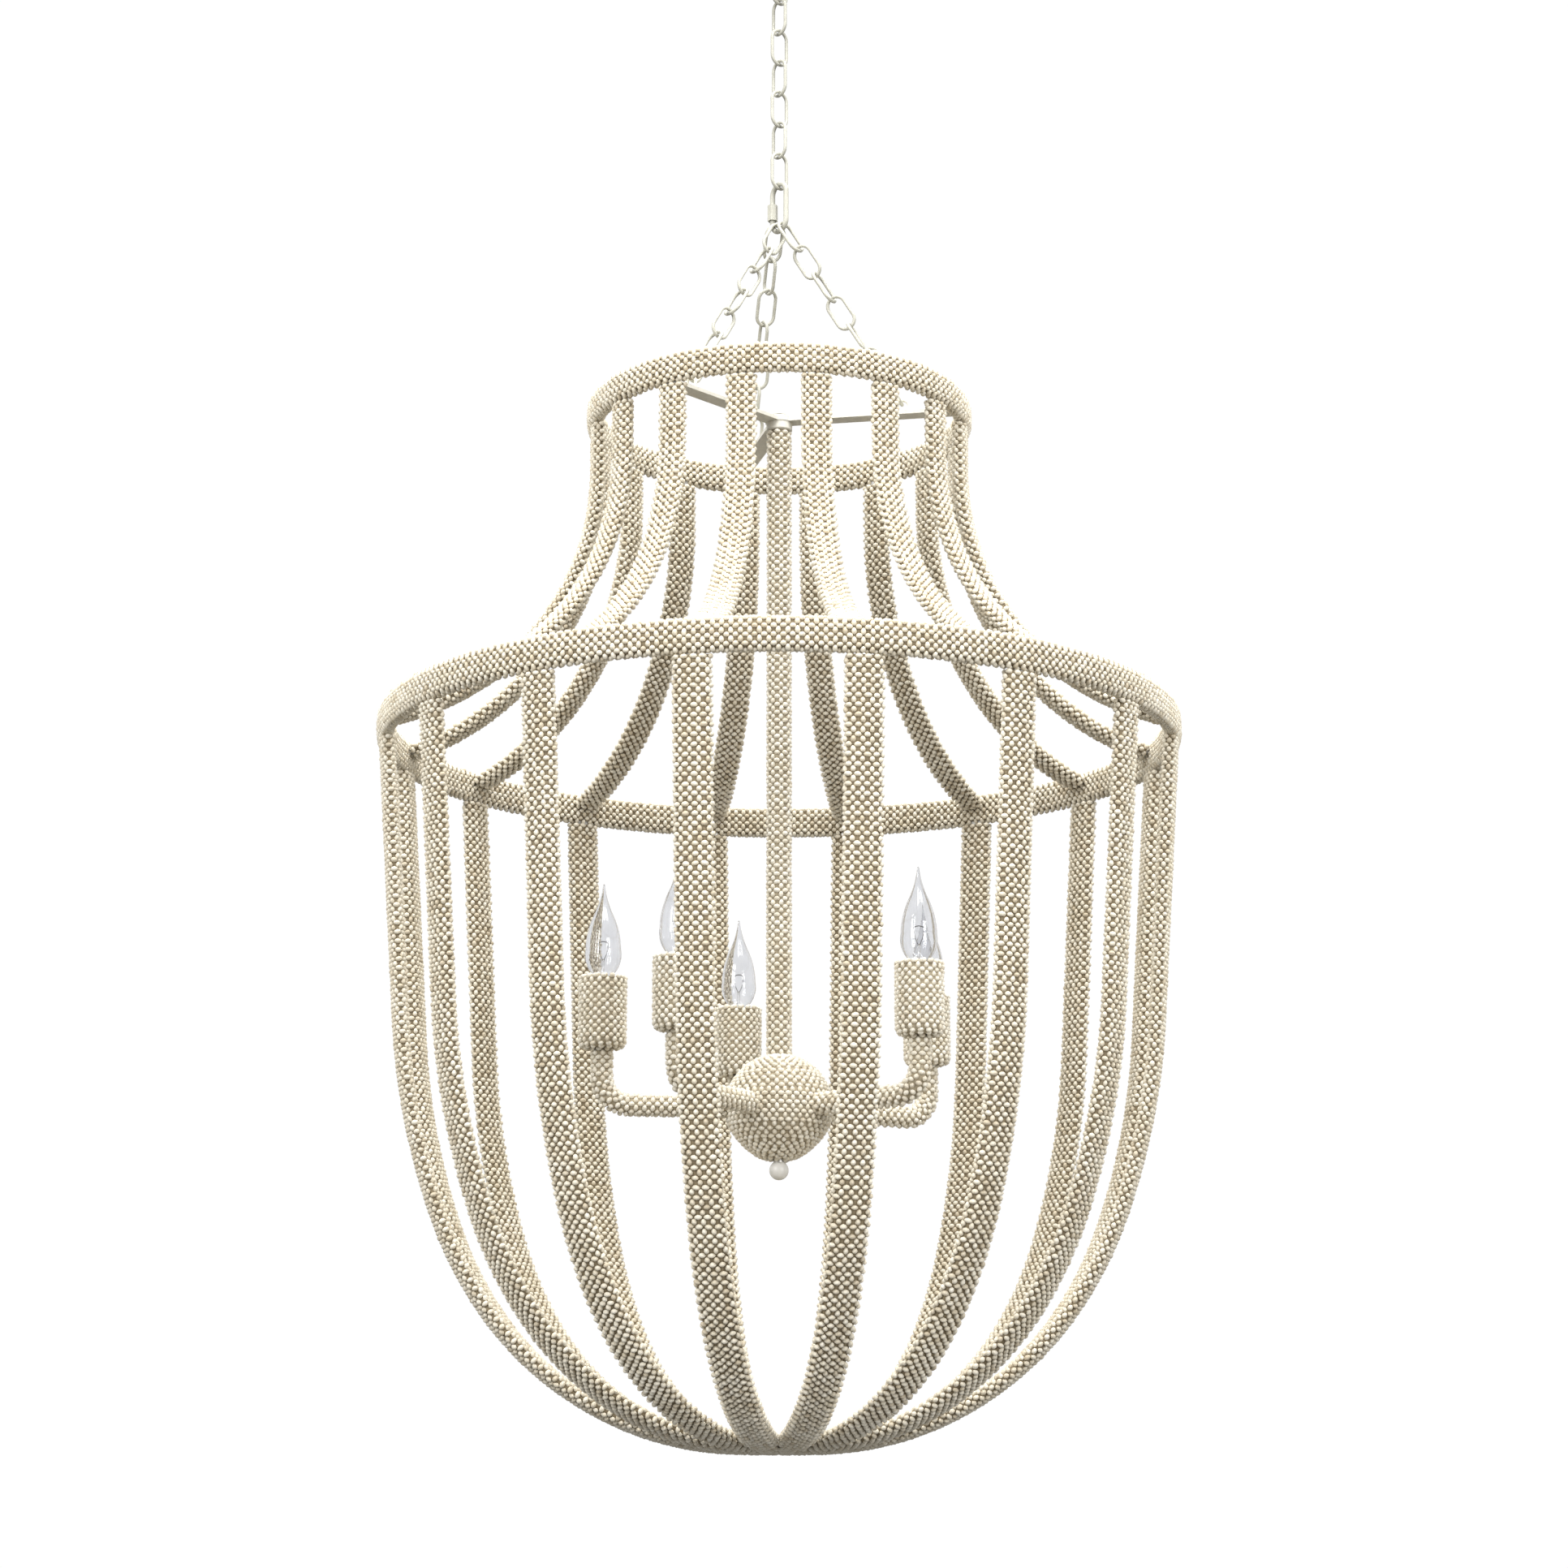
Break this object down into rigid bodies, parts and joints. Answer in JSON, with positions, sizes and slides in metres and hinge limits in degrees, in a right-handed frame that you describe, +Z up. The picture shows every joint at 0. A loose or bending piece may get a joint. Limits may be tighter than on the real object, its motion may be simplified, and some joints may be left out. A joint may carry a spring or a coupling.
{
  "type": "hanging lantern",
  "caption": "Bell-and-bowl cage lantern of beaded ribs and rings on a painted chain, with a beaded stem, ball and curved arms that carry candle bulbs inside.",
  "frame": {"origin": "centre of the canopy's ceiling face", "axes": "+Z up into the ceiling, front of the lantern towards -Y, lantern hangs down -Z"},
  "size_m": [0.7365, 0.7366, 1.4713],
  "materials": {
    "beads": "small bleached coconut-shell beads threaded in a net, satin lacquer, tan in the gaps",
    "white_paint": "off-white matt paint on steel",
    "bare_steel": "mill finish, hidden inside the beads",
    "white_plastic": "moulded nylon",
    "socket_plastic": "moulded phenolic",
    "cap_brass": "rolled screw shell",
    "bulb_glass": "clear thin glass",
    "filament_wire": "glass stem with drawn wire supports"
  },
  "bodies": {
    "ceiling_mount": {"canopy": "white_paint", "crossbar": "bare_steel", "canopy_screws": "white_paint", "canopy_loop": "white_paint", "loop_nut": "bare_steel"},
    "chain_link_1": {"chain_link_1": "white_paint"},
    "chain_run": {"chain_link_2": "white_paint", "chain_link_3": "white_paint", "chain_link_4": "white_paint", "chain_link_5": "white_paint", "chain_link_6": "white_paint", "chain_link_7": "white_paint"},
    "quick_link": {"quick_link": "white_paint"},
    "quick_link_sleeve": {"quick_link_sleeve": "white_paint"},
    "lantern": {"leg_chain_left": "white_paint", "leg_chain_right": "white_paint", "leg_chain_back": "white_paint", "spider_eyes": "white_paint", "spider_bracket": "white_paint", "stem_locknut": "white_paint", "cord_bushing": "white_plastic", "stem_pipe": "bare_steel", "stem_collar": "white_paint", "stem_sleeve": "beads", "arm_cluster_core": "bare_steel", "arm_sleeves": "beads", "ball_sleeve": "beads", "finial": "white_paint", "candle_cup_1": "beads", "candle_cup_2": "beads", "candle_cup_3": "beads", "candle_cup_4": "beads", "candle_cup_5": "beads", "sockets": "socket_plastic", "cage_frame": "bare_steel", "top_ring_sleeve": "beads", "large_ring_sleeve": "beads", "upper_ribs_front": "beads", "upper_ribs_right": "beads", "upper_ribs_back": "beads", "upper_ribs_left": "beads", "lower_ribs_front": "beads", "lower_ribs_right": "beads", "lower_ribs_back": "beads", "lower_ribs_left": "beads"},
    "bulb_1": {"bulb_1_cap": "cap_brass", "bulb_1_glass": "bulb_glass", "bulb_1_mount": "filament_wire"},
    "bulb_2": {"bulb_2_cap": "cap_brass", "bulb_2_glass": "bulb_glass", "bulb_2_mount": "filament_wire"},
    "bulb_3": {"bulb_3_cap": "cap_brass", "bulb_3_glass": "bulb_glass", "bulb_3_mount": "filament_wire"},
    "bulb_4": {"bulb_4_cap": "cap_brass", "bulb_4_glass": "bulb_glass", "bulb_4_mount": "filament_wire"},
    "bulb_5": {"bulb_5_cap": "cap_brass", "bulb_5_glass": "bulb_glass", "bulb_5_mount": "filament_wire"}
  },
  "joints": [
    {"name": "chain_link_1_swing", "type": "hinge", "parent": "ceiling_mount", "child": "chain_link_1", "pos_m": [0, 0, -0.057], "axis": [0.6428, -0.766, 0], "range_deg": [-12, 12]},
    {"name": "chain_run_swing", "type": "hinge", "parent": "chain_link_1", "child": "chain_run", "pos_m": [0, 0, -0.0884], "axis": [0.766, 0.6428, 0], "range_deg": [-12, 12]},
    {"name": "quick_link_swing", "type": "hinge", "parent": "chain_run", "child": "quick_link", "pos_m": [0, 0, -0.2816], "axis": [0.766, 0.6428, 0], "range_deg": [-12, 12]},
    {"name": "quick_link_sleeve_travel", "type": "slide", "parent": "quick_link", "child": "quick_link_sleeve", "axis": [0, 0, 1], "range_m": [0, 0.0085]},
    {"name": "lantern_swing", "type": "hinge", "parent": "quick_link", "child": "lantern", "pos_m": [0, 0, -0.3252], "axis": [0.6428, -0.766, 0], "range_deg": [-7, 7]},
    {"name": "bulb_1_removal", "type": "slide", "parent": "lantern", "child": "bulb_1", "axis": [0, 0, 1], "range_m": [0, 0.022]},
    {"name": "bulb_2_removal", "type": "slide", "parent": "lantern", "child": "bulb_2", "axis": [0, 0, 1], "range_m": [0, 0.022]},
    {"name": "bulb_3_removal", "type": "slide", "parent": "lantern", "child": "bulb_3", "axis": [0, 0, 1], "range_m": [0, 0.022]},
    {"name": "bulb_4_removal", "type": "slide", "parent": "lantern", "child": "bulb_4", "axis": [0, 0, 1], "range_m": [0, 0.022]},
    {"name": "bulb_5_removal", "type": "slide", "parent": "lantern", "child": "bulb_5", "axis": [0, 0, 1], "range_m": [0, 0.022]}
  ]
}
